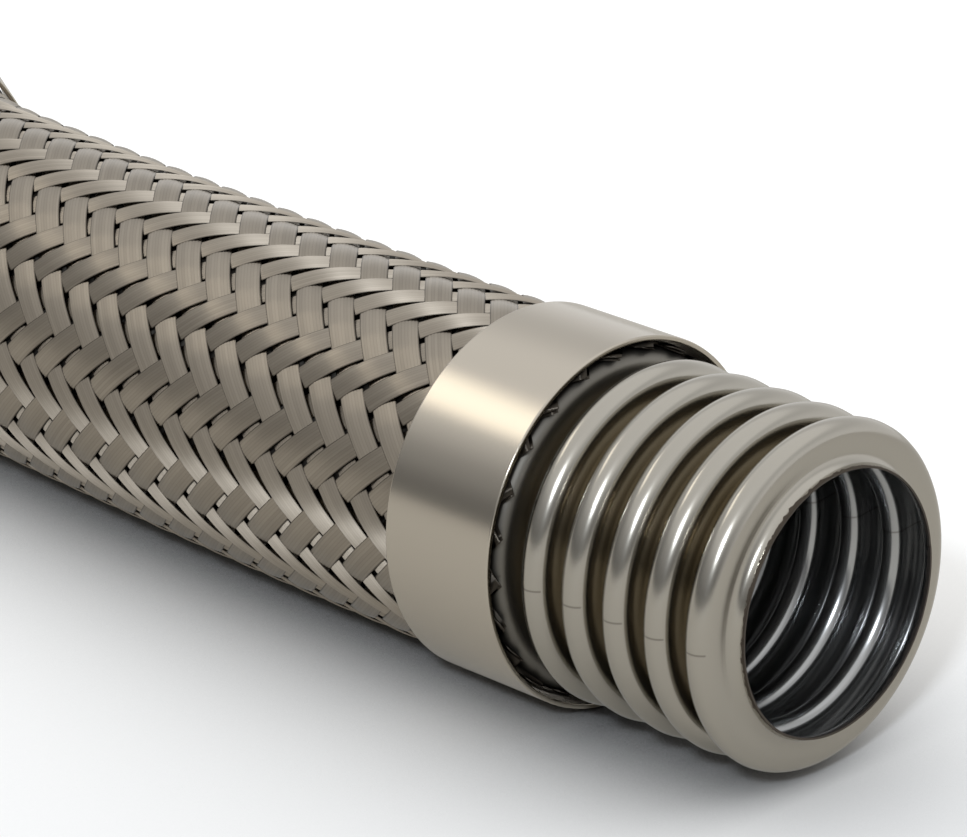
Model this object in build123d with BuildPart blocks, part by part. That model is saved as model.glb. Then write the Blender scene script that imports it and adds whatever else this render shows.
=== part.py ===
from build123d import *
import os
from dataclasses import dataclass
from math import atan2, cos, degrees, hypot, radians, sin

# Braided vacuum bellows hose, nominal bore 40 mm, cut to length and not yet welded to its flanges.
# A thin corrugated steel tube runs from end to end. A sleeve of flat wire strands covers its middle,
# and a plain steel ring holds the sleeve down at each end. The hose lies on a flat surface, straight
# for most of its length and then in a gentle sideways bend, which keeps it from rolling.
# Millimetres, +Z up. The origin is the centre of the near cut end, and +X points out of that end.
# A length along the hose is a station: it is 0 at the near cut end.

# ---- Driving dimensions ----
overall_length = 300.0

# Corrugated tube
crest_radius = 26.0
bore_radius = 19.65
tube_wall = 0.3
convolutions = 38
crest_share = 0.59  # of each convolution's length, the rest is valley
lip_land = 0.5  # short plain edge outside the last valley, where a flange is welded

# End rings
ring_radius = 28.2
ring_wall = 0.8
ring_length = 20.4
ring_setback = 41.6  # from a cut end to the ring's face
ring_edge = 0.25

# Wire sleeve
sleeve_clearance = 0.03  # over the crests
groove_depth_radius = 0.57  # sleeve's thickness at the grooves between strands, at a row's edge
float_thickness = 0.85  # sleeve's thickness at the flat of a strand
trim_setback = 0.6  # from a ring's face in to the sleeve's trimmed end
rows = 24  # rows of strands around the hose, leaning one way and the other by turns
strand_pitch = 6.94  # along the hose
strands_in_row = 29
weave_start = 45.2
strand_end_bevel = 0.57  # across the hose
strand_side_bevel = 0.45  # along the hose

# How it lies
slow_turns = (8, 12, 16, 20, 24)  # convolutions at which the slow bend behind the near ring turns
slow_turn = 1.0  # degrees of turn at each of them
bend_after = 24  # the last convolution before the bend in the far half
bend_steps = 6
bend_step = 4.0  # degrees of turn from one convolution to the next

# ---- Derived sizes ----
pitch = (overall_length - 2 * lip_land) / convolutions
crest_bend = crest_share * pitch / 2
valley_bend = (1 - crest_share) * pitch / 2
root_radius = bore_radius + tube_wall
sleeve_bore = crest_radius + sleeve_clearance
sleeve_land = ring_radius - ring_wall  # the sleeve is pressed smooth under each ring
groove_radius = sleeve_bore + groove_depth_radius
float_flat = sleeve_bore + float_thickness
row_angle = 360 / rows
mitre_reach = 1.0  # a run's plain extension, cut away again at the mitre
core_reach = 5.0
up = Vector(0, 0, 1)


# ---- The hose's centreline: straight steps of one convolution each ----
def heading(index):
    """Direction of one convolution's axis, away from the near end."""
    slow = slow_turn * sum(index >= start for start in slow_turns)
    turn = radians(slow + bend_step * min(max(index - bend_after, 0), bend_steps))
    return Vector(-cos(turn), sin(turn), 0)


headings = [heading(index) for index in range(convolutions)]
joints = [Vector(-lip_land, 0, 0)]
for direction in headings:
    joints.append(joints[-1] + direction * pitch)
far_end = joints[-1] + headings[-1] * lip_land


def station_frame(station):
    """Centre, sideways and upward directions of the hose's cross-section at a station."""
    steps = (station - lip_land) / pitch
    index = min(max(int(steps), 0), convolutions - 1)
    part_way = steps - index
    centre = joints[index] + headings[index] * (pitch * part_way)
    if part_way < 0.5:
        beside = headings[max(index - 1, 0)]
        share = 0.5 - part_way
    else:
        beside = headings[min(index + 1, convolutions - 1)]
        share = part_way - 0.5
    along = (headings[index] * (1 - share) + beside * share).normalized()
    sideways = up.cross(along).normalized()
    return centre, sideways, along.cross(sideways)


def skin_point(station, angle, radius):
    """A point on the hose's skin; angle 0 is sideways and 90 is on top."""
    centre, sideways, upward = station_frame(station)
    return centre + (sideways * cos(radians(angle)) + upward * sin(radians(angle))) * radius


@dataclass(frozen=True)
class Run:
    """A stretch of neighbouring convolutions on one straight axis."""

    first: int
    count: int

    @property
    def plane(self):
        """The plane that holds the axis as X and the radius as Y."""
        along = headings[self.first]
        return Plane(joints[self.first], x_dir=along, z_dir=up.cross(along).normalized())

    @property
    def axis(self):
        return Axis(joints[self.first], headings[self.first])

    @property
    def is_first(self):
        return self.first == 0

    @property
    def is_last(self):
        return self.first + self.count == convolutions

    def mitre(self, index):
        """The plane that halves the turn between two runs."""
        return Plane(joints[index], z_dir=(headings[index - 1] + headings[index]).normalized())


def straight_runs():
    runs = []
    first = 0
    for index in range(1, convolutions + 1):
        if index == convolutions or (headings[index] - headings[first]).length > 1e-9:
            runs.append(Run(first, index - first))
            first = index
    return runs


def follow_hose(draw_section):
    """Revolve a section on every run, mitre the runs where they meet, and join them."""
    pieces = []
    for run in straight_runs():
        with BuildPart() as piece:
            with BuildSketch(run.plane):
                with BuildLine():
                    draw_section(run)
                make_face()
            revolve(axis=run.axis)
            if not run.is_first:
                split(bisect_by=run.mitre(run.first), keep=Keep.TOP)
            if not run.is_last:
                split(bisect_by=run.mitre(run.first + run.count), keep=Keep.BOTTOM)
        pieces.append(piece.part)
    with BuildPart() as whole:
        add(pieces)
    return whole.part


# ---- Corrugated tube ----
def draw_corrugated_edge(run, inset):
    """One face of the tube's wall as a chain of valleys and crests; inset 0 is the outer face."""
    root = root_radius - inset
    valley = valley_bend + inset
    crest = crest_bend - inset
    valley_centre = root + valley
    crest_centre = crest_radius - inset - crest
    start = -lip_land if run.is_first else -mitre_reach
    end = run.count * pitch + (lip_land if run.is_last else mitre_reach)
    Line((start, root), (0, root))
    for index in range(run.count):
        left = index * pitch
        right = left + pitch
        CenterArc((left, valley_centre), valley, -90, 90)
        Line((left + valley, valley_centre), (left + valley, crest_centre))
        CenterArc((left + pitch / 2, crest_centre), crest, 180, -180)
        Line((right - valley, crest_centre), (right - valley, valley_centre))
        CenterArc((right, valley_centre), valley, 180, 90)
    Line((run.count * pitch, root), (end, root))
    return start, end


def draw_tube_wall(run):
    start, end = draw_corrugated_edge(run, 0)
    draw_corrugated_edge(run, tube_wall)
    for station in (start, end):
        Line((station, bore_radius), (station, root_radius))


with BuildPart() as bellows_tube:
    add(follow_hose(draw_tube_wall), clean=False)


# ---- Wire sleeve ----
# The strands lie in rows along the hose. Where a strand shows it passes over two others, so each row
# is a file of slanting floats, and next rows slant opposite ways and are offset by half a float.
# Each float is a low block with bevelled sides on the straight-sided base between its grooves.
half_pitch = strand_pitch / 2
row_half_width = groove_radius * sin(radians(row_angle / 2))
flat_half_width = row_half_width - strand_end_bevel
flat_angle = degrees(atan2(flat_half_width, float_flat))
flat_radius = hypot(flat_half_width, float_flat)
first_row_angle = -90.0  # a row's flats face straight down


def groove_node(steps, row_edge):
    """A groove's end on the line between two rows."""
    angle = first_row_angle + (row_edge - 0.5) * row_angle
    return skin_point(weave_start + steps * half_pitch, angle, groove_radius)


def panel(*corners):
    """One flat face, or a fan of triangles about the first corner where the hose bends."""
    normal = (corners[1] - corners[0]).cross(corners[2] - corners[0]).normalized()
    if all(abs((corner - corners[0]).dot(normal)) < 1e-9 for corner in corners):
        return [Face(Wire.make_polygon(corners, close=True))]
    fan = zip(corners[1:-1], corners[2:])
    return [Face(Wire.make_polygon((corners[0], *pair), close=True)) for pair in fan]


def row_steps(row, strand):
    """Where a float's first groove meets the two edges of its row, in half pitches."""
    if row % 2 == 0:
        return 2 * strand, 2 * strand + 2
    return 2 * strand + 3, 2 * strand + 1


def float_faces(row, strand):
    """The flat of one float and its four bevels."""
    low_steps, high_steps = row_steps(row, strand)
    low = [groove_node(low_steps + step, row) for step in range(3)]
    high = [groove_node(high_steps + step, row + 1) for step in range(3)]
    lean = (high_steps - low_steps) * half_pitch
    middle = weave_start + (low_steps + high_steps) / 2 * half_pitch
    row_centre = first_row_angle + row * row_angle
    edge_shift = lean / 2 * flat_half_width / row_half_width

    def flat_corner(side, station):
        return skin_point(middle + station + side * edge_shift, row_centre + side * flat_angle, flat_radius)

    low_near = flat_corner(-1, strand_side_bevel)
    low_far = flat_corner(-1, strand_pitch - strand_side_bevel)
    high_near = flat_corner(1, strand_side_bevel)
    high_far = flat_corner(1, strand_pitch - strand_side_bevel)
    return [
        *panel(low_near, high_near, high_far, low_far),
        *panel(low[0], high[0], high_near, low_near),
        *panel(low[2], low_far, high_far, high[2]),
        *panel(low[1], low[0], low_near, low_far, low[2]),
        *panel(high[1], high[2], high_far, high_near, high[0]),
    ]


def end_faces(strand):
    """A shallow cone of triangles that closes the weave, out of sight under a ring."""
    apex = station_frame(weave_start + strand * strand_pitch)[0]
    rim = []
    for row in range(rows):
        low_steps, high_steps = row_steps(row, strand)
        rim += [groove_node(low_steps, row), groove_node(high_steps, row + 1)]
    return [face for start, end in zip(rim, rim[1:] + rim[:1]) for face in panel(apex, start, end)]


woven_faces = end_faces(0) + end_faces(strands_in_row)
for row in range(rows):
    for strand in range(strands_in_row):
        woven_faces += float_faces(row, strand)
woven_skin = Solid(Shell(woven_faces))


def draw_core(run):
    """The space inside the sleeve."""
    start = -core_reach
    end = run.count * pitch + core_reach
    Polyline((start, 0), (end, 0), (end, sleeve_bore), (start, sleeve_bore), close=True)


# The planes of the two rings' faces, looking along the hose from each cut end.
ring_faces = [
    Plane((-ring_setback, 0, 0), x_dir=up, z_dir=(-1, 0, 0)),
    Plane(far_end - headings[-1] * ring_setback, x_dir=up, z_dir=headings[-1] * -1),
]
sleeve_core = follow_hose(draw_core)

with BuildPart() as braid_sleeve:
    add(woven_skin)
    for face_plane in ring_faces:
        with BuildSketch(face_plane.offset(trim_setback)):
            Circle(sleeve_land)
        extrude(amount=ring_length - trim_setback)
    add(sleeve_core, mode=Mode.SUBTRACT)


# ---- End rings ----
def end_ring(face_plane):
    with BuildPart() as ring:
        with BuildSketch(face_plane):
            Circle(ring_radius)
            Circle(ring_radius - ring_wall, mode=Mode.SUBTRACT)
        extrude(amount=ring_length)
        outer_edges = ring.edges().filter_by(GeomType.CIRCLE).group_by(SortBy.RADIUS)[-1]
        chamfer(outer_edges, ring_edge)
    return ring


near_ring, far_ring = (end_ring(face_plane) for face_plane in ring_faces)

os.makedirs("parts", exist_ok=True)
named_parts = {
    "bellows_tube": bellows_tube,
    "braid_sleeve": braid_sleeve,
    "near_ring": near_ring,
    "far_ring": far_ring,
}
for name, built in named_parts.items():
    built.part.label = name
    export_step(built.part, f"parts/{name}.step")
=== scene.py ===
"""The looks of a braided vacuum bellows hose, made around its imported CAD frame.

A thin corrugated steel tube runs from end to end. A sleeve of flat wire strands, woven two over two,
covers its middle, and a plain steel ring holds the sleeve down at each end. Each part is first made
straight, with X as the distance along the hose, Y sideways and Z up, and is then bent along the
hose's centreline. The straight position stays on each point as the attribute "straight", for the
materials. Sizes are millimetres unless a name says otherwise, and meshes are in metres.
"""

import logging
from collections.abc import Mapping, Sequence
from dataclasses import dataclass
from enum import Enum
from math import atan, cos, pi, radians, sin

import bpy
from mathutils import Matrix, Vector

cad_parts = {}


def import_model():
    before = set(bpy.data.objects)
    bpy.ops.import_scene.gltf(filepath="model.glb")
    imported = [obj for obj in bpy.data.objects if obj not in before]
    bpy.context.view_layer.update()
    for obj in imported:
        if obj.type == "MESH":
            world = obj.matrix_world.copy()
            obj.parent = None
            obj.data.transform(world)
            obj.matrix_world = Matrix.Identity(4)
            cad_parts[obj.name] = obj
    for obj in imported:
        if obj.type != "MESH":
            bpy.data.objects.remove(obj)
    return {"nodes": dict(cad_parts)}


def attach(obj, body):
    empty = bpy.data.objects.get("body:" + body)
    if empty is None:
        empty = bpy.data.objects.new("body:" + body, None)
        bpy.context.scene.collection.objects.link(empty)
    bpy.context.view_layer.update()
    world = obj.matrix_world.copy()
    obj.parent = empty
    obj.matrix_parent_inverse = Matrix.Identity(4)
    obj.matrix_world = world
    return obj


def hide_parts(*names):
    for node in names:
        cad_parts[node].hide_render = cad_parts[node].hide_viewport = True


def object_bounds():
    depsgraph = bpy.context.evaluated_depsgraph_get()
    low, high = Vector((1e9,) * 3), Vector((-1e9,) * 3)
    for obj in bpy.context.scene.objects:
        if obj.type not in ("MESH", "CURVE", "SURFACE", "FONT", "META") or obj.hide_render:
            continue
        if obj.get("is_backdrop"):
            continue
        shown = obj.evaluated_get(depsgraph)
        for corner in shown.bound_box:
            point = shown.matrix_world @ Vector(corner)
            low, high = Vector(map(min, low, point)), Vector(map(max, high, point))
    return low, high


MM = 0.001
BODY = "root"
STRAIGHT = "straight"  # where a point was before the hose was bent
GRAIN = "grain"  # which way the wires run there
WEAVE = "weave"  # the distance along a strand, the place across it from -1 to 1, and its number
INSIDE = "inside"  # 1 on the tube's inner face
RING_SETBACK = 41.6  # from a cut end to the ring's nearer face
WELD_REACH = 1e-6  # metres: points closer than this are one
log = logging.getLogger("hose")

Tree = bpy.types.NodeTree
Node = bpy.types.Node
Socket = bpy.types.NodeSocket
Object = bpy.types.Object
Material = bpy.types.Material
Point = tuple[float, float, float]
Colour = tuple[float, float, float, float]
Value = Socket | float | int | bool | str | tuple | Vector | None


def hex_colour(code: str) -> Colour:
    """Turns an sRGB hex colour into Blender's linear one.

    Args:
        code: six hex digits.

    Returns:
        Linear red, green, blue and an alpha of 1.
    """
    parts = [int(code[at : at + 2], 16) / 255 for at in (0, 2, 4)]
    linear = [part / 12.92 if part <= 0.04045 else ((part + 0.055) / 1.055) ** 2.4 for part in parts]
    return (*linear, 1.0)


def add(tree: Tree, kind: str, inputs: Mapping | Sequence = (), **settings: object) -> Socket:
    """Adds a node with its settings and links.

    Args:
        tree: the node tree that gets the node.
        kind: the node's type name.
        inputs: a value or link for each input in use, in order, or by the input's name.
        **settings: the node's own settings.

    Returns:
        The node's first output in use. The others are reached through its node.
    """
    node = tree.nodes.new(kind)
    for name, setting in settings.items():
        setattr(node, name, setting)
    used = [socket for socket in node.inputs if socket.enabled]
    if isinstance(inputs, Mapping):
        pairs = [(node.inputs[name], value) for name, value in inputs.items()]
    else:
        pairs = zip(used, inputs)
    for socket, value in pairs:
        if isinstance(value, Socket):
            tree.links.new(value, socket)
        elif value is not None:
            socket.default_value = value
    return next((socket for socket in node.outputs if socket.enabled), None)


def parts_of(tree: Tree, vector: Value) -> Mapping[str, Socket]:
    """The outputs "X", "Y" and "Z" of a vector's parts."""
    return add(tree, "ShaderNodeSeparateXYZ", (vector,)).node.outputs


def in_scene(name: str, data: bpy.types.ID) -> Object:
    """Puts a new object into the scene."""
    made = bpy.data.objects.new(name, data)
    bpy.context.scene.collection.objects.link(made)
    return made


# ---- Geometry Nodes ----
class Recipe:
    """A Geometry Nodes tree with named inputs, which makes one straight part and bends it."""

    SOCKETS = {float: "NodeSocketFloat", int: "NodeSocketInt", Object: "NodeSocketObject"}

    def __init__(self, name: str, values: Mapping[str, float | int | Object]) -> None:
        """Makes the tree and its inputs.

        Args:
            name: the tree's name.
            values: each input's name and the value that its modifier gets.
        """
        self.values = dict(values)
        self.tree = bpy.data.node_groups.new(name, "GeometryNodeTree")
        self.tree.interface.new_socket("Geometry", in_out="OUTPUT", socket_type="NodeSocketGeometry")
        for label, value in self.values.items():
            kind = next(kind for base, kind in self.SOCKETS.items() if isinstance(value, base))
            self.tree.interface.new_socket(label, in_out="INPUT", socket_type=kind)
        self.group_input = self.tree.nodes.new("NodeGroupInput")

    def given(self, label: str) -> Socket:
        """The link that carries a named input."""
        return self.group_input.outputs[label]

    def add(self, kind: str, inputs: Mapping | Sequence = (), **settings: object) -> Socket:
        """Adds a node to this tree, as the function add does."""
        return add(self.tree, kind, inputs, **settings)

    def named(self, label: str, data_type: str = "FLOAT") -> Socket:
        """Reads a stored attribute."""
        return self.add("GeometryNodeInputNamedAttribute", (label,), data_type=data_type)

    def curve(self, label: str) -> Socket:
        """The curve of an object among the inputs."""
        return self.add("GeometryNodeObjectInfo", (self.given(label),)).node.outputs["Geometry"]

    def round_place(self, station: Socket, radius: Socket, angle: Socket) -> Socket:
        """A place in the straight hose, by its distance along the hose, its radius and its angle."""
        side = self.math("radius angle COSINE MULTIPLY", radius=radius, angle=angle)
        rise = self.math("radius angle SINE MULTIPLY", radius=radius, angle=angle)
        return self.add("ShaderNodeCombineXYZ", (station, side, rise))

    def shaded(self, geometry: Socket, sharp: Socket) -> Socket:
        """Shades faces smooth, and sharp across the chosen edges."""
        smooth = self.add("GeometryNodeSetShadeSmooth", {"Geometry": geometry, "Shade Smooth": True})
        return self.add(
            "GeometryNodeSetShadeSmooth",
            {"Geometry": smooth, "Selection": sharp, "Shade Smooth": False},
            domain="EDGE",
        )

    def math(self, formula: str, **terms: Socket | float) -> Socket:
        """Writes a formula in postfix order as Math nodes.

        Args:
            formula: names, numbers and Math operations, as in "Pitch b ADD COSINE".
            **terms: what each name stands for that isn't one of the inputs.

        Returns:
            The result.
        """
        stack: list[Socket | float] = []
        for word in formula.split():
            if word in terms:
                stack.append(terms[word])
            elif word in self.values:
                stack.append(self.given(word))
            elif word[0].isdigit() or word[0] == "-":
                stack.append(float(word))
            else:
                operation = word.upper()
                count = 1 if operation in ("COSINE", "SINE", "FLOOR", "ABSOLUTE", "FRACT") else 2
                values = tuple(stack[-count:])
                del stack[-count:]
                stack.append(self.add("ShaderNodeMath", values, operation=operation))
        return stack[0]

    def noted(self, geometry: Socket, name: str, value: Socket, data_type: str = "FLOAT_VECTOR",
              domain: str = "POINT") -> Socket:
        """Stores a value on the geometry.

        Args:
            geometry: the geometry.
            name: the attribute's name.
            value: the value.
            data_type: the attribute's type.
            domain: what it is stored on.

        Returns:
            The geometry with the attribute.
        """
        stored = self.add(
            "GeometryNodeStoreNamedAttribute",
            {"Geometry": geometry, "Name": name},
            data_type=data_type,
            domain=domain,
        )
        self.tree.links.new(value, stored.node.inputs["Value"])
        return stored

    def bent(self, geometry: Socket, position: Socket, grain: Socket | None = None) -> Socket:
        """Places points in the straight hose, notes where they are, and bends them along the centreline.

        Args:
            geometry: the geometry to place.
            position: each point's place in the straight hose.
            grain: the direction of the wires there in the straight hose, kept bent as the attribute GRAIN.

        Returns:
            The bent geometry.
        """
        placed = self.noted(geometry, STRAIGHT, position)
        parts = parts_of(self.tree, self.named(STRAIGHT, "FLOAT_VECTOR"))
        reached = {"Curves": self.curve("Centreline"), "Length": parts["X"]}
        sample = self.add("GeometryNodeSampleCurve", reached, mode="LENGTH").node
        along = sample.outputs["Tangent"]
        level = self.add("ShaderNodeVectorMath", ((0, 0, 1), along), operation="CROSS_PRODUCT")
        sideways = self.add("ShaderNodeVectorMath", (level,), operation="NORMALIZE")
        upward = self.add("ShaderNodeVectorMath", (along, sideways), operation="CROSS_PRODUCT")
        if grain is not None:
            shares = parts_of(self.tree, grain)
            turned = self.summed((along, shares["X"]), (sideways, shares["Y"]), (upward, shares["Z"]))
            placed = self.noted(placed, GRAIN, turned)
        offset = self.summed((sideways, parts["Y"]), (upward, parts["Z"]))
        bent = self.add("ShaderNodeVectorMath", (sample.outputs["Position"], offset), operation="ADD")
        return self.add("GeometryNodeSetPosition", {"Geometry": placed, "Position": bent})

    def summed(self, *steps: tuple[Socket, Socket]) -> Socket:
        """Adds up steps.

        Args:
            *steps: each a direction and a distance along it.

        Returns:
            The whole step, as a vector.
        """
        total = None
        for direction, distance in steps:
            step = self.add("ShaderNodeVectorMath", operation="SCALE").node
            self.tree.links.new(direction, step.inputs["Vector"])
            self.tree.links.new(distance, step.inputs["Scale"])
            moved = step.outputs["Vector"]
            if total is not None:
                moved = self.add("ShaderNodeVectorMath", (total, moved), operation="ADD")
            total = moved
        return total

    def make(self, name: str, geometry: Socket, material: Material) -> Object:
        """Ends the tree, runs it and keeps the result as a plain mesh.

        Args:
            name: the piece's name.
            geometry: the finished geometry.
            material: the piece's material.

        Returns:
            The piece, at the origin, with no modifier.
        """
        real = self.add("GeometryNodeRealizeInstances", (geometry,))
        dressed = self.add("GeometryNodeSetMaterial", {"Geometry": real, "Material": material})
        self.add("NodeGroupOutput", (dressed,))
        piece = in_scene(name, bpy.data.meshes.new(name))
        modifier = piece.modifiers.new(name, "NODES")
        modifier.node_group = self.tree
        for item in self.tree.interface.items_tree:
            if item.in_out == "INPUT":
                modifier[item.identifier] = self.values[item.name]
        depsgraph = bpy.context.evaluated_depsgraph_get()
        result = bpy.data.meshes.new_from_object(
            piece.evaluated_get(depsgraph), preserve_all_data_layers=True, depsgraph=depsgraph
        )
        piece.modifiers.remove(modifier)
        piece.data = result
        result.name = name
        triangles = sum(len(polygon.vertices) - 2 for polygon in result.polygons)
        log.info("%s: %d points, %d triangles", name, len(result.vertices), triangles)
        return piece


def path_object(name: str, points: Sequence[Point], closed: bool = False) -> Object:
    """A curve of straight steps that Geometry Nodes sample.

    Args:
        name: the curve's name.
        points: its points, in millimetres.
        closed: whether the last point joins the first.

    Returns:
        The curve's object, which is removed again once its pieces are made.
    """
    curve = bpy.data.curves.new(name, "CURVE")
    curve.dimensions = "3D"
    spline = curve.splines.new("POLY")
    spline.points.add(len(points) - 1)
    for target, point in zip(spline.points, points):
        target.co = (*(Vector(point) * MM), 1)
    spline.use_cyclic_u = closed
    return in_scene(name, curve)


# ---- The hose's line ----
@dataclass(frozen=True)
class Centreline:
    """The hose's centreline: equal straight steps, one for each convolution of the tube."""

    overall_length: float = 300.0
    lip_land: float = 0.5
    convolutions: int = 38
    slow_turns: tuple[int, ...] = (8, 12, 16, 20, 24)
    slow_turn: float = 1.0  # degrees
    bend_after: int = 24
    bend_steps: int = 6
    bend_step: float = 4.0  # degrees

    @property
    def pitch(self) -> float:
        """Length of one convolution."""
        return (self.overall_length - 2 * self.lip_land) / self.convolutions

    def heading(self, index: int) -> Vector:
        """Direction of one convolution's axis, away from the near end.

        Args:
            index: the convolution, counted from the near end.

        Returns:
            A unit vector.
        """
        slow = self.slow_turn * sum(index >= start for start in self.slow_turns)
        turn = radians(slow + self.bend_step * min(max(index - self.bend_after, 0), self.bend_steps))
        return Vector((-cos(turn), sin(turn), 0))

    def points(self) -> list[Vector]:
        """The two cut ends and the joints between convolutions."""
        points = [Vector((0, 0, 0)), self.heading(0) * self.lip_land]
        for index in range(self.convolutions):
            points.append(points[-1] + self.heading(index) * self.pitch)
        points.append(points[-1] + self.heading(self.convolutions - 1) * self.lip_land)
        return points

    def build(self) -> Object:
        """The centreline as a curve for Geometry Nodes."""
        return path_object("centreline", self.points())


# ---- Finishes ----
class Slot(Enum):
    """The record's material slots."""

    TUBE = "corrugated_steel"
    WIRE = "braid_wire"
    RING = "ring_steel"


class Finish:
    """A steel finish: a metallic shader whose sockets the subclasses fill."""

    name = "steel"

    def dress(self, tree: Tree, shader: Node) -> None:
        """Sets and links the shader's sockets.

        Args:
            tree: the material's tree.
            shader: its Principled BSDF.
        """
        raise NotImplementedError

    def material(self) -> Material:
        """Builds the material.

        Returns:
            The material.
        """
        made = bpy.data.materials.new(self.name)
        made.use_nodes = True
        shader = made.node_tree.nodes["Principled BSDF"]
        shader.inputs["Metallic"].default_value = 1.0
        self.dress(made.node_tree, shader)
        return made


def mixed(tree: Tree, share: Value, start: Value, end: Value) -> Socket:
    """Mixes two colours: a share of 0 gives the first, and 1 the second."""
    return add(tree, "ShaderNodeMix", (share, start, end), data_type="RGBA")


def number(tree: Tree, operation: str, *values: Value) -> Socket:
    """Adds a Math node."""
    return add(tree, "ShaderNodeMath", values, operation=operation)


def mapped(
    tree: Tree, value: Value, start: float, end: float, low: float, high: float, smooth: bool = False
) -> Socket:
    """Maps the values from start to end to those from low to high, and never goes beyond them."""
    kind = "SMOOTHSTEP" if smooth else "LINEAR"
    return add(tree, "ShaderNodeMapRange", (value, start, end, low, high), interpolation_type=kind)


def noise(tree: Tree, vector: Socket, scale: float, detail: float) -> Socket:
    """Adds a noise texture."""
    return add(tree, "ShaderNodeTexNoise", {"Vector": vector, "Scale": scale, "Detail": detail})


def product(tree: Tree, first: Value, *others: Value) -> Socket:
    """Multiplies two or more numbers."""
    for other in others:
        first = number(tree, "MULTIPLY", first, other)
    return first


def dot(tree: Tree, first: Value, second: Value) -> Socket:
    """The dot product of two vectors."""
    return add(tree, "ShaderNodeVectorMath", (first, second), operation="DOT_PRODUCT").node.outputs["Value"]


def attribute(tree: Tree, name: str, output: str = "Vector") -> Socket:
    """Reads an attribute of the mesh."""
    return add(tree, "ShaderNodeAttribute", attribute_name=name).node.outputs[output]


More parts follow.
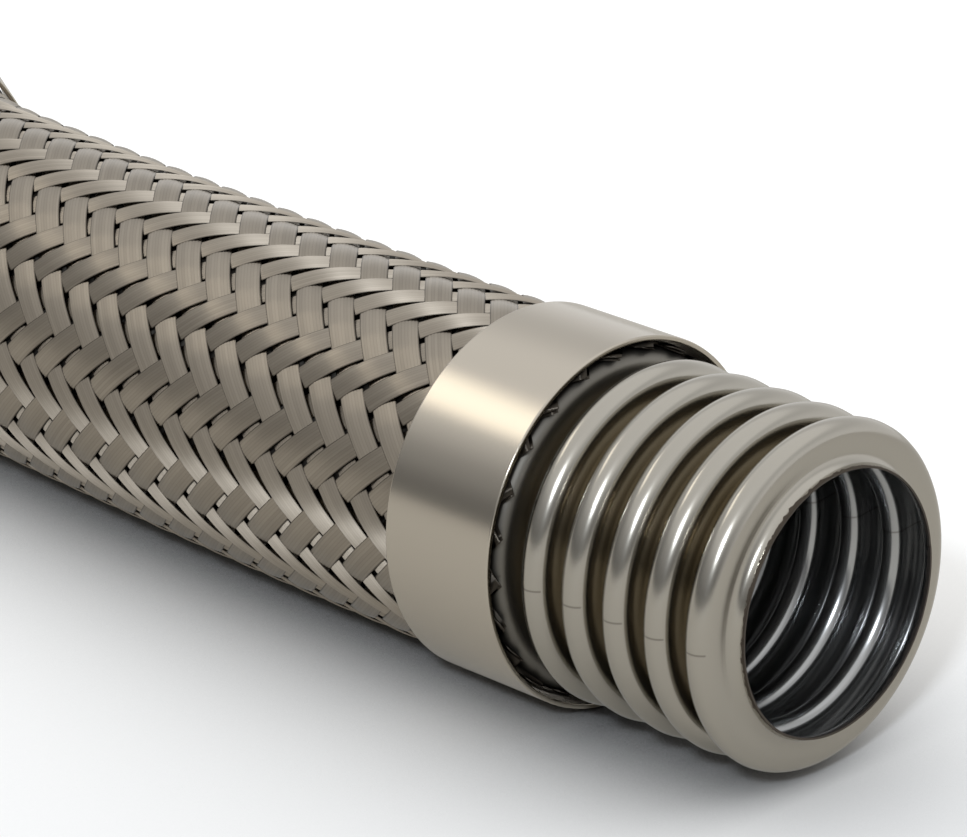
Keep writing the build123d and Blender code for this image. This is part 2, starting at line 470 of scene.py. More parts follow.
@dataclass(frozen=True)
class FormedSteel(Finish):
    """Thin 1.4404 stainless tube, formed into convolutions by water pressure and annealed.

    It gives soft mirror streaks along the crests, with fine marks round the hose and a faint lengthwise
    weld seam. The annealing leaves a brown film in the outer valleys, and the saw a dark ragged edge.
    """

    name = "formed_stainless_steel"
    crest: str = "aaa69d"
    # the dark colour below is painted shade on the outer face, in the rings' mouths and under the sleeve
    cover_shade: str = "1d1a17"
    film: str = "8c8371"
    inner: str = "a5a6a6"
    seam: str = "57504a"
    cut: str = "3b2f25"
    roughness: float = 0.22
    dull: float = 0.4  # added to the roughness at the cut edge and under the sleeve
    film_to_radius: float = 20.85
    film_from_radius: float = 24.4
    thinnest_film: float = 0.75  # between its patches
    bare_to: float = 4.4  # the first crest, whose open side stays clean
    covered_from: float = 40.2  # from each cut end, painted shade darkens the tube towards the sleeve
    dark_from: float = 43.0
    cover_shade_share: float = 0.93
    overall_length: float = 300.0
    outer_seam_angle: float = -2.0
    inner_seam_angle: float = 172.0
    seam_width: float = 0.3
    seam_strength: float = 0.5
    seam_from_radius: float = 25.0  # outside, it shows on the crests alone
    cut_edge: float = 0.6
    cut_share: float = 0.85
    patches_per_metre: float = 90.0
    saw_marks_per_metre: float = 900.0
    fine_marks_per_metre: float = 2600.0
    mark_depth: float = 0.03

    def film_share(self, tree: Tree, straight: Socket, along: Socket, radius: Socket) -> Socket:
        """How much of the brown film there is, patchy and full at the bottom of a valley.

        Args:
            tree: the material's tree.
            straight: the place in the straight hose.
            along: its distance along the hose.
            radius: its radius.

        Returns:
            The share.
        """
        thin, full = self.film_from_radius * MM, self.film_to_radius * MM
        depth = mapped(tree, radius, thin, full, 0.0, 1.0, smooth=True)
        patches = noise(tree, straight, self.patches_per_metre, 3.0)
        uneven = mapped(tree, patches, 0.3, 0.7, self.thinnest_film, 1.0)
        past_first_crest = number(tree, "GREATER_THAN", along, self.bare_to * MM)
        return product(tree, depth, uneven, past_first_crest)

    def painted_shade_share(self, tree: Tree, along: Socket) -> Socket:
        """How much painted shade darkens the outer face, from the rings' mouths in.

        Args:
            tree: the material's tree.
            along: the distance along the hose.

        Returns:
            The share.
        """
        half = self.overall_length / 2
        from_middle = number(tree, "ABSOLUTE", number(tree, "SUBTRACT", along, half * MM))
        dark_at, clean_at = ((half - station) * MM for station in (self.dark_from, self.covered_from))
        return mapped(tree, from_middle, dark_at, clean_at, self.cover_shade_share, 0.0)

    def seam_share(self, tree: Tree, across: Socket, angle: float, shown: Socket) -> Socket:
        """How much of the weld seam's tint there is along one line of the tube.

        Args:
            tree: the material's tree.
            across: the place in the hose's cross-section.
            angle: the line's angle, 0 sideways and 90 on top.
            shown: 1 where the line shows.

        Returns:
            The share.
        """
        ray = (0.0, cos(radians(angle)), sin(radians(angle)))
        side = (0.0, -ray[2], ray[1])
        off = number(tree, "ABSOLUTE", dot(tree, across, side))
        near = number(tree, "LESS_THAN", off, self.seam_width / 2 * MM)
        this_side = number(tree, "GREATER_THAN", dot(tree, across, ray), 0.0)
        return product(tree, near, this_side, shown, self.seam_strength)

    def dress(self, tree: Tree, shader: Node) -> None:
        """Sets and links the shader's sockets."""
        straight = attribute(tree, STRAIGHT)
        inside = attribute(tree, INSIDE, "Fac")
        parts = parts_of(tree, straight)
        along = parts["X"]
        across = add(tree, "ShaderNodeCombineXYZ", (0.0, parts["Y"], parts["Z"]))
        radius = add(tree, "ShaderNodeVectorMath", (across,), operation="LENGTH").node.outputs["Value"]
        film = self.film_share(tree, straight, along, radius)
        outside = mixed(tree, film, hex_colour(self.crest), hex_colour(self.film))
        # painted shade: the outer face goes dark in the rings' mouths and under the sleeve
        cover_shading = self.painted_shade_share(tree, along)
        outside = mixed(tree, cover_shading, outside, hex_colour(self.cover_shade))
        colour = mixed(tree, inside, outside, hex_colour(self.inner))
        on_crest = number(tree, "GREATER_THAN", radius, self.seam_from_radius * MM)
        on_crest = number(tree, "SUBTRACT", on_crest, inside)
        for angle, shown in ((self.outer_seam_angle, on_crest), (self.inner_seam_angle, inside)):
            colour = mixed(tree, self.seam_share(tree, across, angle, shown), colour, hex_colour(self.seam))
        ragged = noise(tree, straight, self.saw_marks_per_metre, 3.0)
        sawn = number(tree, "LESS_THAN", along, product(tree, ragged, 2 * self.cut_edge * MM))
        colour = mixed(tree, product(tree, sawn, self.cut_share), colour, hex_colour(self.cut))
        tree.links.new(colour, shader.inputs["Base Color"])
        hidden = product(tree, cover_shading, number(tree, "SUBTRACT", 1.0, inside))
        dulled = number(tree, "MAXIMUM", sawn, hidden)
        rough = number(tree, "MULTIPLY_ADD", dulled, self.dull, self.roughness)
        tree.links.new(rough, shader.inputs["Roughness"])
        lines = add(tree, "ShaderNodeCombineXYZ", (along, radius, 0.0))
        marks = noise(tree, lines, self.fine_marks_per_metre, 2.0)
        depth = self.mark_depth * MM
        bump = add(tree, "ShaderNodeBump", {"Strength": 0.12, "Distance": depth, "Height": marks})
        tree.links.new(bump, shader.inputs["Normal"])


@dataclass(frozen=True)
class DrawnWire(Finish):
    """Bright drawn 1.4301 stainless wire, laid side by side.

    Round wires spread a light across them and keep it narrow along them, so the glints run in rows
    where the strands turn to the light.
    """

    name = "drawn_stainless_wire"
    colour: str = "a89f92"
    # the dark colour below is painted shade in the furrows, along the strands' edges and in the near ring's
    # mouth, and each wire's own tone
    shade: str = "2e2a25"
    roughness: float = 0.4
    anisotropy: float = 1.0
    across_grain: float = 0.25  # a quarter turn from the tangent, which is the wires' direction
    wires: int = 8
    furrow_shade: float = 0.12  # painted shade between two wires
    uneven_shade: float = 0.16  # from one wire to another
    edge_from: float = 0.86  # of a strand's half width, from where painted shade darkens its edges
    edge_shade: float = 0.75
    mouth_shade_to: float = 43.6  # from the near cut end: painted shade darkens the trimmed wires there, inside the ring's mouth
    mouth_shade_fade: float = 1.0
    mouth_shade_strength: float = 0.9

    def dress(self, tree: Tree, shader: Node) -> None:
        """Sets and links the shader's sockets."""
        parts = parts_of(tree, attribute(tree, WEAVE))
        across = number(tree, "MULTIPLY_ADD", parts["Y"], self.wires / 2, self.wires / 2)
        which = number(tree, "FLOOR", across)
        place = number(tree, "SUBTRACT", number(tree, "SUBTRACT", across, which), 0.5)
        off = number(tree, "ABSOLUTE", place)
        # painted shade in the furrows between wires
        furrow = mapped(tree, off, 0.3, 0.5, 0.0, self.furrow_shade)
        wire = add(tree, "ShaderNodeCombineXYZ", (which, parts["Z"], 0.0))
        own = add(tree, "ShaderNodeTexWhiteNoise", (wire,), noise_dimensions="3D")
        tone = mapped(tree, own, 0.0, 1.0, 0.0, self.uneven_shade)
        sideways = number(tree, "ABSOLUTE", parts["Y"])
        # painted shade along the strand's edges
        edge = mapped(tree, sideways, self.edge_from, 1.0, 0.0, self.edge_shade, smooth=True)
        along = parts_of(tree, attribute(tree, STRAIGHT))["X"]
        # painted shade on the trimmed wires inside the near ring's mouth
        fade = (self.mouth_shade_to * MM, (self.mouth_shade_to + self.mouth_shade_fade) * MM)
        mouth_shade = mapped(tree, along, *fade, self.mouth_shade_strength, 0.0)
        dark = number(tree, "MAXIMUM", edge, mouth_shade)
        dark = number(tree, "MAXIMUM", number(tree, "ADD", furrow, tone), dark)
        colour = mixed(tree, dark, hex_colour(self.colour), hex_colour(self.shade))
        tree.links.new(colour, shader.inputs["Base Color"])
        shader.inputs["Roughness"].default_value = self.roughness
        shader.inputs["Anisotropic"].default_value = self.anisotropy
        shader.inputs["Anisotropic Rotation"].default_value = self.across_grain
        tree.links.new(attribute(tree, GRAIN), shader.inputs["Tangent"])


@dataclass(frozen=True)
class SatinSteel(Finish):
    """Cold-rolled 1.4301 strip, rolled to a ring and left satin: it mirrors the room softly."""

    name = "satin_stainless_strip"
    colour: str = "b8b1a5"
    roughness: float = 0.2

    def dress(self, tree: Tree, shader: Node) -> None:
        """Sets and links the shader's sockets."""
        shader.inputs["Base Color"].default_value = hex_colour(self.colour)
        shader.inputs["Roughness"].default_value = self.roughness


# ---- Corrugated tube ----
@dataclass
class CorrugatedTube:
    """The thin tube with its ring-shaped convolutions, open at both ends."""

    line: Centreline
    finish: FormedSteel
    crest_radius: float = 26.0
    bore_radius: float = 19.65
    wall: float = 0.3
    crest_share: float = 0.59
    saw_roughness: float = 0.15  # how far the cut edge wanders
    fine: tuple[int, int] = (26, 144)  # steps along a convolution and around the tube
    coarse: tuple[int, int] = (12, 72)
    shown_convolutions: int = 7  # at each end, the rest are under the sleeve

    def profile(self) -> Object:
        """One convolution's outer face, from valley bottom to valley bottom."""
        pitch = self.line.pitch
        root = self.bore_radius + self.wall
        crest_bend = self.crest_share * pitch / 2
        valley_bend = (1 - self.crest_share) * pitch / 2
        crest_height = self.crest_radius - crest_bend
        steps = 12
        quarter = [radians(90 * step / steps) for step in range(steps + 1)]
        rise = [(valley_bend * sin(t), root + valley_bend * (1 - cos(t)), 0.0) for t in quarter]
        round_top = [
            (pitch / 2 - crest_bend * cos(t), crest_height + crest_bend * sin(t), 0.0)
            for t in (radians(180 * step / (2 * steps)) for step in range(2 * steps + 1))
        ]
        fall = [(pitch - x, radius, 0.0) for x, radius, _ in reversed(rise)]
        return path_object("convolution", rise + round_top + fall)

    def section(self, name: str, first: int, count: int, detail: tuple[int, int], path: Object,
                profile: Object, material: Material) -> Object:
        """Makes a stretch of the tube's wall.

        Args:
            name: the piece's name.
            first: its first convolution.
            count: how many convolutions it has.
            detail: steps along a convolution and around the tube.
            path: the hose's centreline.
            profile: one convolution's outer face.
            material: its material.

        Returns:
            The piece.
        """
        line = self.line
        last = first + count == line.convolutions
        recipe = Recipe(
            "corrugated_wall",
            {
                "Centreline": path,
                "Profile": profile,
                "First": first,
                "Convolutions": count,
                "Steps": detail[0],
                "Around": detail[1],
                "Pitch": line.pitch * MM,
                "Wall": self.wall * MM,
                "Land": line.lip_land * MM,
                "Near_land": line.lip_land * MM if first == 0 else 0.0,
                "Far_land": line.lip_land * MM if last else 0.0,
                "Saw_roughness": self.saw_roughness * MM,
            },
        )
        skin = recipe.math("Convolutions Steps MULTIPLY 3 ADD")
        columns = recipe.math("skin 2 MULTIPLY", skin=skin)
        rows = recipe.math("Around 1 ADD")
        size = {"Vertices X": recipe.math("columns 1 ADD", columns=columns), "Vertices Y": rows}
        grid = recipe.add("GeometryNodeMeshGrid", size)
        index = recipe.add("GeometryNodeInputIndex")
        whole = recipe.math("index 0.5 ADD rows DIVIDE FLOOR", index=index, rows=rows)
        row = recipe.math("index whole rows MULTIPLY SUBTRACT", index=index, whole=whole, rows=rows)
        column = recipe.math("whole columns FLOORED_MODULO", whole=whole, columns=columns)
        inside = recipe.math("column skin 0.5 SUBTRACT GREATER_THAN", column=column, skin=skin)
        # the outer skin runs away from the near end and the inner skin runs back
        place = recipe.math(
            "column columns 1 SUBTRACT column 2 MULTIPLY SUBTRACT inside MULTIPLY ADD",
            column=column, columns=columns, inside=inside,
        )
        steps = recipe.math("place 1 SUBTRACT 0 MAXIMUM skin 3 SUBTRACT MINIMUM", place=place, skin=skin)
        turns = recipe.math("steps Steps DIVIDE", steps=steps)
        reached = {"Curves": recipe.curve("Profile"), "Factor": recipe.math("turns FRACT", turns=turns)}
        sample = recipe.add("GeometryNodeSampleCurve", reached, mode="FACTOR").node
        point = parts_of(recipe.tree, sample.outputs["Position"])
        slope = parts_of(recipe.tree, sample.outputs["Tangent"])
        inset = recipe.math("Wall inside MULTIPLY", inside=inside)
        angle = recipe.math(f"row Around DIVIDE {2 * pi} MULTIPLY", row=row)
        saw_line = recipe.add(
            "ShaderNodeCombineXYZ",
            (
                recipe.math("angle COSINE", angle=angle),
                recipe.math("angle SINE", angle=angle),
                recipe.math("First 3 MULTIPLY"),
            ),
        )
        wander = recipe.add("ShaderNodeTexNoise", {"Vector": saw_line, "Scale": 14.0, "Detail": 4.0})
        near = recipe.math("place 0.5 LESS_THAN", place=place)
        far = recipe.math("place skin 1.5 SUBTRACT GREATER_THAN", place=place, skin=skin)
        ends = recipe.math(
            "far Far_land wander Saw_roughness MULTIPLY SUBTRACT MULTIPLY "
            "near Near_land wander Saw_roughness MULTIPLY SUBTRACT MULTIPLY SUBTRACT",
            far=far, near=near, wander=wander,
        )
        station = recipe.math(
            "First turns FLOOR ADD Pitch MULTIPLY Land ADD x ADD rise inset MULTIPLY ADD ends ADD",
            turns=turns, x=point["X"], rise=slope["Y"], inset=inset, ends=ends,
        )
        radius = recipe.math("r run inset MULTIPLY SUBTRACT", r=point["Y"], run=slope["X"], inset=inset)
        straight = recipe.round_place(station, radius, angle)
        sided = recipe.noted(grid, INSIDE, inside, "FLOAT")
        bent = recipe.bent(sided, straight)
        merged = recipe.add("GeometryNodeMergeByDistance", {"Geometry": bent, "Distance": WELD_REACH})
        return recipe.make(name, smooth_faces(recipe, merged), material)

    def build(self, path: Object) -> list[Object]:
        """Makes the tube in three stretches, finer where it shows.

        Args:
            path: the hose's centreline.

        Returns:
            The three pieces.
        """
        profile = self.profile()
        material = self.finish.material()
        shown = self.shown_convolutions
        middle = self.line.convolutions - 2 * shown
        stretches = (
            ("tube_near_end", 0, shown, self.fine),
            ("tube_under_sleeve", shown, middle, self.coarse),
            ("tube_far_end", shown + middle, shown, self.fine),
        )
        pieces = [
            self.section(name, first, count, detail, path, profile, material)
            for name, first, count, detail in stretches
        ]
        bpy.data.objects.remove(profile)
        for piece in pieces:
            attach(piece, BODY)
            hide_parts("bellows_tube")
        return pieces


def smooth_faces(recipe: Recipe, geometry: Socket, sharp_from: float = 50.0) -> Socket:
    """Shades faces smooth and keeps sharp edges.

    Args:
        recipe: the tree to add to.
        geometry: the mesh.
        sharp_from: the angle between faces, in degrees, from which an edge stays sharp.

    Returns:
        The same mesh with its shading set.
    """
    fold = recipe.add("GeometryNodeInputMeshEdgeAngle").node.outputs["Unsigned Angle"]
    return recipe.shaded(geometry, recipe.math(f"fold {radians(sharp_from)} GREATER_THAN", fold=fold))


# ---- Wire sleeve ----
class Lean(Enum):
    """Which way a strand winds, seen from the near end."""

    RISING = 1
    FALLING = -1


@dataclass
class WireSleeve:
    """The woven sleeve: flat strands of parallel wires, 24 winding each way, two over two."""

    line: Centreline
    finish: DrawnWire
    strands_each_way: int = 24
    strand_pitch: float = 6.94  # along the hose
    weave_start: float = 45.2
    first_row_angle: float = -90.0
    trimmed_at: float = 42.2  # from each cut end
    middle_radius: float = 26.47
    wave: float = 0.33  # how far a strand rises and dips from the middle radius
    strand_width: float = 4.1
    wires: int = 8
    wire_height: float = 0.03
    thickness: float = 0.3
    crown: float = 0.24
    underside: float = 0.92  # of the strand's width
    samples: int = 256
    strands_in_piece: int = 12

    @property
    def row_angle(self) -> float:
        """Degrees around the hose from one row of floats to the next."""
        return 360 / self.strands_each_way

    def strands(self, name: str, lean: Lean, first: int, path: Object,
                material: Material) -> Object:
        """Weaves some of the strands that wind one way.

        Args:
            name: the piece's name.
            lean: which way they wind.
            first: the first strand's number.
            path: the hose's centreline.
            material: their material.

        Returns:
            The piece.
        """
        falling = lean is Lean.FALLING
        slant = atan(self.middle_radius * radians(self.row_angle) / self.strand_pitch)
        recipe = Recipe(
            "woven_strands",
            {
                "Centreline": path,
                "Strands": self.strands_in_piece,
                "First": first,
                "Samples": self.samples,
                "Wires": self.wires,
                "Lean": float(lean.value),
                "Start": self.trimmed_at * MM,
                "End": (self.line.overall_length - self.trimmed_at) * MM,
                "Weave_start": (self.weave_start + falling * self.strand_pitch / 2) * MM,
                "First_angle": radians(self.first_row_angle + falling * self.row_angle),
                "Pitch": self.strand_pitch * MM,
                "Row_angle": radians(self.row_angle),
                "Middle": self.middle_radius * MM,
                "Wave": self.wave * MM,
                "Half_width": self.strand_width / 2 * MM,
                "Wire_height": self.wire_height * MM,
                "Thickness": self.thickness * MM,
                "Crown": self.crown * MM,
                "Underside": 2 * self.underside,
                "Slant": slant,
            },
        )
        round_section = recipe.math("Wires 2 MULTIPLY 3 ADD")
        rows = recipe.math("section 1 ADD", section=round_section)
        size = {"Vertices X": recipe.math("Samples 3 ADD"), "Vertices Y": rows}
        grid = recipe.add("GeometryNodeMeshGrid", size)
        index = recipe.add("GeometryNodeInputIndex")
        column = recipe.math("index 0.5 ADD rows DIVIDE FLOOR", index=index, rows=rows)
        row = recipe.math(
            "index column rows MULTIPLY SUBTRACT section FLOORED_MODULO",
            index=index, column=column, rows=rows, section=round_section,
        )
        numbered = recipe.noted(recipe.noted(grid, "column", column, "FLOAT"), "row", row, "FLOAT")
        places = recipe.add("GeometryNodeMeshLine", {"Count": recipe.given("Strands")})
        copies = recipe.add("GeometryNodeInstanceOnPoints", {"Points": places, "Instance": numbered})
        counted = recipe.noted(copies, "strand", recipe.add("GeometryNodeInputIndex"), "FLOAT", "INSTANCE")
        real = recipe.add("GeometryNodeRealizeInstances", (counted,))
        column, row, copy = (recipe.named(label) for label in ("column", "row", "strand"))
        strand = recipe.math("copy First ADD", copy=copy)
        share = recipe.math("column 1 SUBTRACT 0 MAXIMUM Samples MINIMUM Samples DIVIDE", column=column)
        body = recipe.math(
            "column 0.5 GREATER_THAN Samples 1.5 ADD column GREATER_THAN MULTIPLY", column=column
        )
        station = recipe.math("End Start SUBTRACT share MULTIPLY Start ADD", share=share)
        top = recipe.math("Wires 2 MULTIPLY 0.5 ADD row GREATER_THAN", row=row)
        top_across = recipe.math("row Wires DIVIDE 1 SUBTRACT", row=row)
        # the two lower corners come after the ridges
        low_across = recipe.math("Wires 2 MULTIPLY 1.5 ADD row SUBTRACT Underside MULTIPLY", row=row)
        across = recipe.math(
            "a b SUBTRACT top MULTIPLY b ADD body MULTIPLY", a=top_across, b=low_across, top=top, body=body
        )
        ridge = recipe.math("row 2 FLOORED_MODULO", row=row)
        height = recipe.math(
            "ridge 0.5 SUBTRACT Wire_height MULTIPLY across across MULTIPLY Crown MULTIPLY SUBTRACT "
            "Thickness ADD top MULTIPLY Thickness 0.5 MULTIPLY SUBTRACT body MULTIPLY",
            ridge=ridge, across=across, top=top, body=body,
        )
        along = recipe.math(
            "station strand Pitch MULTIPLY SUBTRACT Weave_start SUBTRACT", station=station, strand=strand
        )
        wave = recipe.math(f"along Pitch DIVIDE {pi} MULTIPLY COSINE Wave MULTIPLY", along=along)
        slanted = recipe.math("across Half_width MULTIPLY", across=across)
        placed_station = recipe.math(
            "station slanted Slant SINE MULTIPLY Lean MULTIPLY SUBTRACT", station=station, slanted=slanted
        )
        angle = recipe.math(
            "along Pitch DIVIDE Row_angle MULTIPLY Lean MULTIPLY First_angle ADD "
            "slanted Slant COSINE MULTIPLY Middle DIVIDE ADD",
            along=along, slanted=slanted,
        )
        radius = recipe.math("Middle wave ADD height ADD", wave=wave, height=height)
        straight = recipe.round_place(placed_station, radius, angle)
        slope = recipe.math(
            f"along Pitch DIVIDE {pi} MULTIPLY SINE Wave MULTIPLY {-pi} MULTIPLY "
            "Pitch DIVIDE Slant COSINE MULTIPLY",
            along=along,
        )
        turning = {"slope": slope, "angle": angle, "around": recipe.math("Slant SINE Lean MULTIPLY")}
        grain = recipe.add(
            "ShaderNodeCombineXYZ",
            (
                recipe.math("Slant COSINE"),
                recipe.math("slope angle COSINE MULTIPLY around angle SINE MULTIPLY SUBTRACT", **turning),
                recipe.math("slope angle SINE MULTIPLY around angle COSINE MULTIPLY ADD", **turning),
            ),
        )
        weave = recipe.add("ShaderNodeCombineXYZ", (along, across, strand))
        bent = recipe.bent(recipe.noted(real, WEAVE, weave), straight, grain)
        merged = recipe.add("GeometryNodeMergeByDistance", {"Geometry": bent, "Distance": WELD_REACH})
        ridge = recipe.math("row 2 FLOORED_MODULO", row=recipe.named("row"))
        ridge = recipe.add("GeometryNodeFieldOnDomain", (ridge,), data_type="FLOAT", domain="EDGE")
        furrow = recipe.math("ridge 0.25 LESS_THAN", ridge=ridge)
        return recipe.make(name, recipe.shaded(merged, furrow), material)

    def build(self, path: Object) -> list[Object]:
        """Weaves all strands.

        Args:
            path: the hose's centreline.

        Returns:
            Its pieces.
        """
        material = self.finish.material()
        pieces = []
        for lean in Lean:
            for first in range(0, self.strands_each_way, self.strands_in_piece):
                name = f"strands_{lean.name.lower()}_{first // self.strands_in_piece + 1}"
                pieces.append(self.strands(name, lean, first, path, material))
        for piece in pieces:
            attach(piece, BODY)
            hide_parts("braid_sleeve")
        return pieces


# ---- End rings ----
@dataclass
class EndRing:
    """A plain strip rolled to a ring, with softly broken edges."""

    name: str
    node: str
    setback: float  # of its face nearer the near end
    radius: float = 28.2
    wall: float = 0.8
    length: float = 20.4
    edge: float = 0.22
    corner_steps: int = 4
    support: float = 0.1  # from a corner to the next point, which keeps the flats' shading flat
    around: int = 256

    def section(self) -> Object:
        """Its section as a closed outline, X along the hose and Y the radius."""
        inner, outer = self.radius - self.wall + self.edge, self.radius - self.edge
        low, high = self.edge, self.length - self.edge
        points = []
        for x, radius, start in ((low, inner, 180), (high, inner, 270), (high, outer, 0), (low, outer, 90)):
            for step in range(-1, self.corner_steps + 2):
                on_corner = min(max(step, 0), self.corner_steps)
                turn = radians(start + 90 * on_corner / self.corner_steps)
                past = self.support * (step - on_corner)
                points.append(
                    (
                        self.setback + x + self.edge * cos(turn) - past * sin(turn),
                        radius + self.edge * sin(turn) + past * cos(turn),
                        0.0,
                    )
                )
        return path_object("ring_section", points, closed=True)

    def build(self, path: Object, material: Material) -> Object:
        """Turns the section round the hose.

        Args:
            path: the hose's centreline.
            material: its material.

        Returns:
            The ring.
        """
        section = self.section()
        recipe = Recipe("end_ring", {"Centreline": path, "Section": section, "Around": self.around})
        circle = recipe.add(
            "GeometryNodeCurvePrimitiveCircle", {"Resolution": recipe.given("Around"), "Radius": 1.0}
        )
        here = recipe.add("GeometryNodeInputPosition")
        turned = recipe.noted(circle, "around", here)
        marked = recipe.noted(recipe.curve("Section"), "outline", here)
        swept = recipe.add("GeometryNodeCurveToMesh", {"Curve": turned, "Profile Curve": marked})
        turn = parts_of(recipe.tree, recipe.named("around", "FLOAT_VECTOR"))
        at = parts_of(recipe.tree, recipe.named("outline", "FLOAT_VECTOR"))
        straight = recipe.add(
            "ShaderNodeCombineXYZ",
            (
                at["X"],
                recipe.math("radius side MULTIPLY", radius=at["Y"], side=turn["X"]),
                recipe.math("radius side MULTIPLY", radius=at["Y"], side=turn["Y"]),
            ),
        )
        bent = recipe.bent(swept, straight)
        piece = recipe.make(self.name, smooth_faces(recipe, bent), material)
        bpy.data.objects.remove(section)
        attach(piece, BODY)
        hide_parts(self.node)
        return piece


# ---- Studio ----
@dataclass(frozen=True)
class SoftBox:
    """A soft box that faces the hose."""

    name: str
    azimuth: float  # its direction from the hose, in degrees from X
    elevation: float  # its height above the horizon, in degrees
    size: tuple[float, float]  # metres
    power: float  # watts
    colour: Point  # linear
    distance: float = 1.2  # metres
    aim: Point = (-50.0, 0.0, 0.0)

    def hang(self) -> None:
        """Adds the lamp."""
        lamp = bpy.data.lights.new(self.name, "AREA")
        lamp.shape = "RECTANGLE"
        lamp.size, lamp.size_y = self.size
        lamp.energy = self.power
        lamp.color = self.colour
        box = in_scene(self.name, lamp)
        turn, rise = radians(self.azimuth), radians(self.elevation)
        towards = Vector((cos(rise) * cos(turn), cos(rise) * sin(turn), sin(rise)))
        box.location = Vector(self.aim) * MM + towards * self.distance
        box.rotation_euler = towards.to_track_quat("Z", "Y").to_euler()


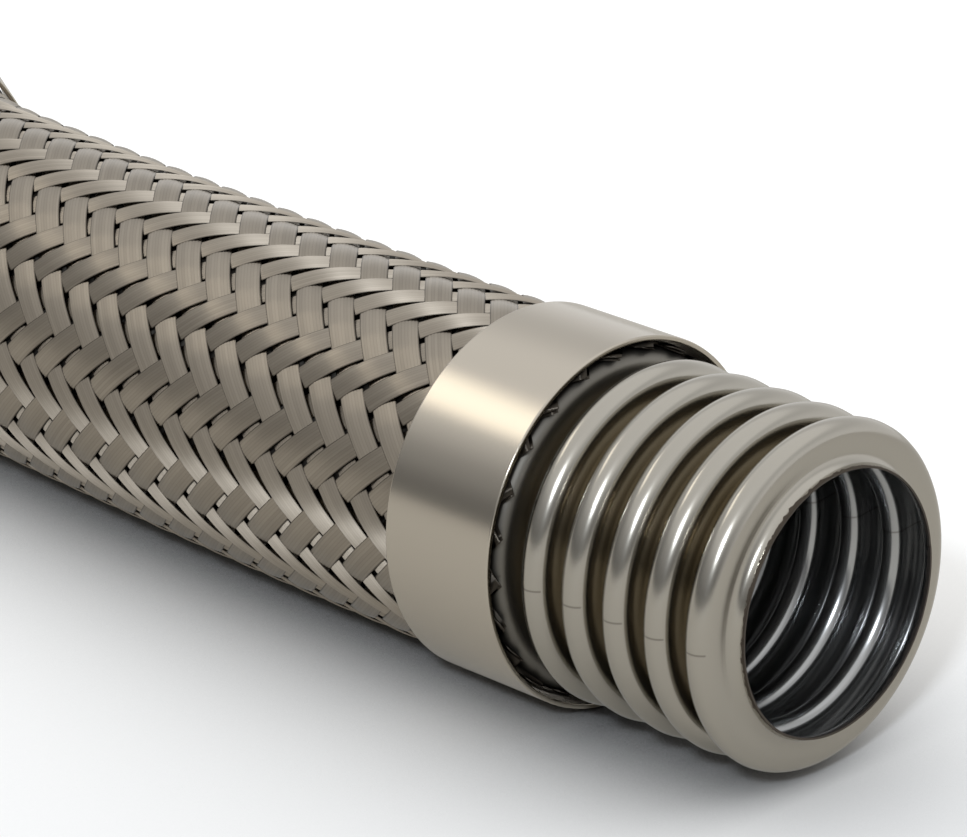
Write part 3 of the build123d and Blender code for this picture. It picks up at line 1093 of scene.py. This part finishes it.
@dataclass
class Studio:
    """A pale floor under plain soft light, and the camera."""

    boxes: tuple[SoftBox, ...] = (
        SoftBox("left_box", -155, 43.5, (0.5, 0.2), 0.55, (1.0, 0.93, 0.8)),
        SoftBox("front_window", -56, 33, (0.12, 0.12), 6.5, (0.86, 0.92, 1.0)),
    )
    # the room's level at heights from straight down (0) to overhead (1), in front and behind
    room_front: tuple[tuple[float, float], ...] = (
        (0.0, 0.2), (0.14, 0.21), (0.28, 0.38), (0.39, 0.45), (0.5, 0.72), (0.6, 0.95), (1.0, 1.0),
    )
    room_back: tuple[tuple[float, float], ...] = (
        (0.0, 1.0), (0.24, 0.94), (0.36, 0.88), (0.47, 0.78), (0.56, 0.8), (0.64, 0.9), (0.71, 1.12),
        (1.0, 1.1),
    )
    front_to_back: tuple[float, float] = (-0.45, 0.35)  # where one changes to the other
    floor_size: float = 6000.0
    floor_colour: str = "cfccc6"
    floor_far: Colour = (1.08, 1.08, 1.07, 1.0)  # as the camera sees it, linear
    floor_near: Colour = (0.81, 0.81, 0.805, 1.0)
    floor_grade: tuple[float, float] = (-160.0, 90.0)  # where it changes, towards the camera, to the darker painted shade
    painted_shadow_reach: float = 120.0  # how far from the hose the painted shadow darkens the floor
    painted_shadow_strength: float = 0.6
    azimuth: float = 44.82
    elevation: float = 21.4
    focal_length: float = 186.14
    sensor: float = 36.0
    near_end_in_view: Point = (49.82, -25.92, -698.9)  # right, up, towards the camera

    def floor(self, height: float) -> None:
        """Lays the floor, painted darker towards the camera and with a painted shadow near the hose.

        Args:
            height: where it lies, in metres.
        """
        half = self.floor_size / 2 * MM
        mesh = bpy.data.meshes.new("floor")
        corners = ((-1, -1), (1, -1), (1, 1), (-1, 1))
        mesh.from_pydata([(x * half, y * half, height) for x, y in corners], [], [(0, 1, 2, 3)])
        floor = in_scene("floor", mesh)
        made = bpy.data.materials.new("white_card")
        made.use_nodes = True
        tree = made.node_tree
        shader = tree.nodes["Principled BSDF"]
        shader.inputs["Roughness"].default_value = 1.0
        shader.inputs["Specular IOR Level"].default_value = 0.0
        seen = add(tree, "ShaderNodeLightPath")
        place = add(tree, "ShaderNodeTexCoord").node.outputs["Object"]
        towards = (sin(radians(self.azimuth)), -cos(radians(self.azimuth)), 0.0)
        far_at, near_at = (edge * MM for edge in self.floor_grade)
        # painted shade: the floor as the camera sees it darkens towards the camera
        nearness = mapped(tree, dot(tree, place, towards), far_at, near_at, 0.0, 1.0, smooth=True)
        shown = mixed(tree, nearness, self.floor_far, self.floor_near)
        # painted shadow: occlusion near the hose darkens the floor as the camera sees it
        reach = {"Distance": self.painted_shadow_reach * MM}
        openness = add(tree, "ShaderNodeAmbientOcclusion", reach, samples=8).node.outputs["AO"]
        painted_shadow = number(tree, "POWER", openness, self.painted_shadow_strength)
        shown = mixed(tree, painted_shadow, (0.0, 0.0, 0.0, 1.0), shown)
        colour = mixed(tree, seen, hex_colour(self.floor_colour), shown)
        tree.links.new(colour, shader.inputs["Base Color"])
        mesh.materials.append(made)
        floor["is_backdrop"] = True

    def world(self) -> None:
        """Lights the room: a white backdrop behind, a darker room in front, brighter overhead."""
        world = bpy.data.worlds.new("studio")
        bpy.context.scene.world = world
        world.use_nodes = True
        tree = world.node_tree
        tree.nodes.clear()
        direction = add(tree, "ShaderNodeTexCoord").node.outputs["Generated"]
        parts = parts_of(tree, direction)
        sides = []
        for stops in (self.room_front, self.room_back):
            ramp = add(tree, "ShaderNodeValToRGB", (parts["Z"],))
            elements = ramp.node.color_ramp.elements
            while len(elements) < len(stops):
                elements.new(1.0)
            for element, (position, level) in zip(elements, stops):
                element.position = position
                element.color = (level / 2, level / 2, level / 2, 1)
            sides.append(ramp)
        share = mapped(tree, parts["Y"], *self.front_to_back, 0.0, 1.0)
        room = mixed(tree, share, *sides)
        lit = add(tree, "ShaderNodeBackground", (room, 2.0))
        white = add(tree, "ShaderNodeBackground", ((1, 1, 1, 1), 1.0))
        seen = add(tree, "ShaderNodeLightPath")
        shown = add(tree, "ShaderNodeMixShader", (seen, lit, white))
        add(tree, "ShaderNodeOutputWorld", (shown,))

    def camera(self) -> None:
        """Sets the camera by the place of the near end in its view."""
        azimuth, elevation = radians(self.azimuth), radians(self.elevation)
        back = Vector((sin(azimuth) * cos(elevation), -cos(azimuth) * cos(elevation), sin(elevation)))
        right = Vector((cos(azimuth), sin(azimuth), 0))
        up = back.cross(right)
        across, height, depth = self.near_end_in_view
        data = bpy.data.cameras.new("camera")
        data.lens = self.focal_length
        data.sensor_width = self.sensor
        camera = in_scene("camera", data)
        camera.location = -(right * across + up * height + back * depth) * MM
        camera.rotation_euler = back.to_track_quat("Z", "Y").to_euler()
        bpy.context.scene.camera = camera

    def build(self, height: float) -> None:
        """Sets up floor, light and camera.

        Args:
            height: the floor's height, in metres.
        """
        self.floor(height)
        self.world()
        for box in self.boxes:
            box.hang()
        self.camera()
        bpy.context.scene.view_settings.view_transform = "Standard"


def main() -> None:
    """Dresses the hose and sets it in its studio."""
    logging.basicConfig(level=logging.INFO, format="%(name)s: %(message)s")
    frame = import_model()
    cad_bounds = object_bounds()
    line = Centreline()
    path = line.build()
    CorrugatedTube(line, FormedSteel()).build(path)
    WireSleeve(line, DrawnWire()).build(path)
    strip = SatinSteel().material()
    near = EndRing("ring_near", "near_ring", RING_SETBACK)
    far = EndRing("ring_far", "far_ring", line.overall_length - RING_SETBACK - near.length)
    for ring in (near, far):
        ring.build(path, strip)
    bpy.data.objects.remove(path)
    Studio().build(cad_bounds[0][2])
    log.info("nodes in the frame: %s", sorted(frame["nodes"]))


if __name__ == "__main__":
    main()
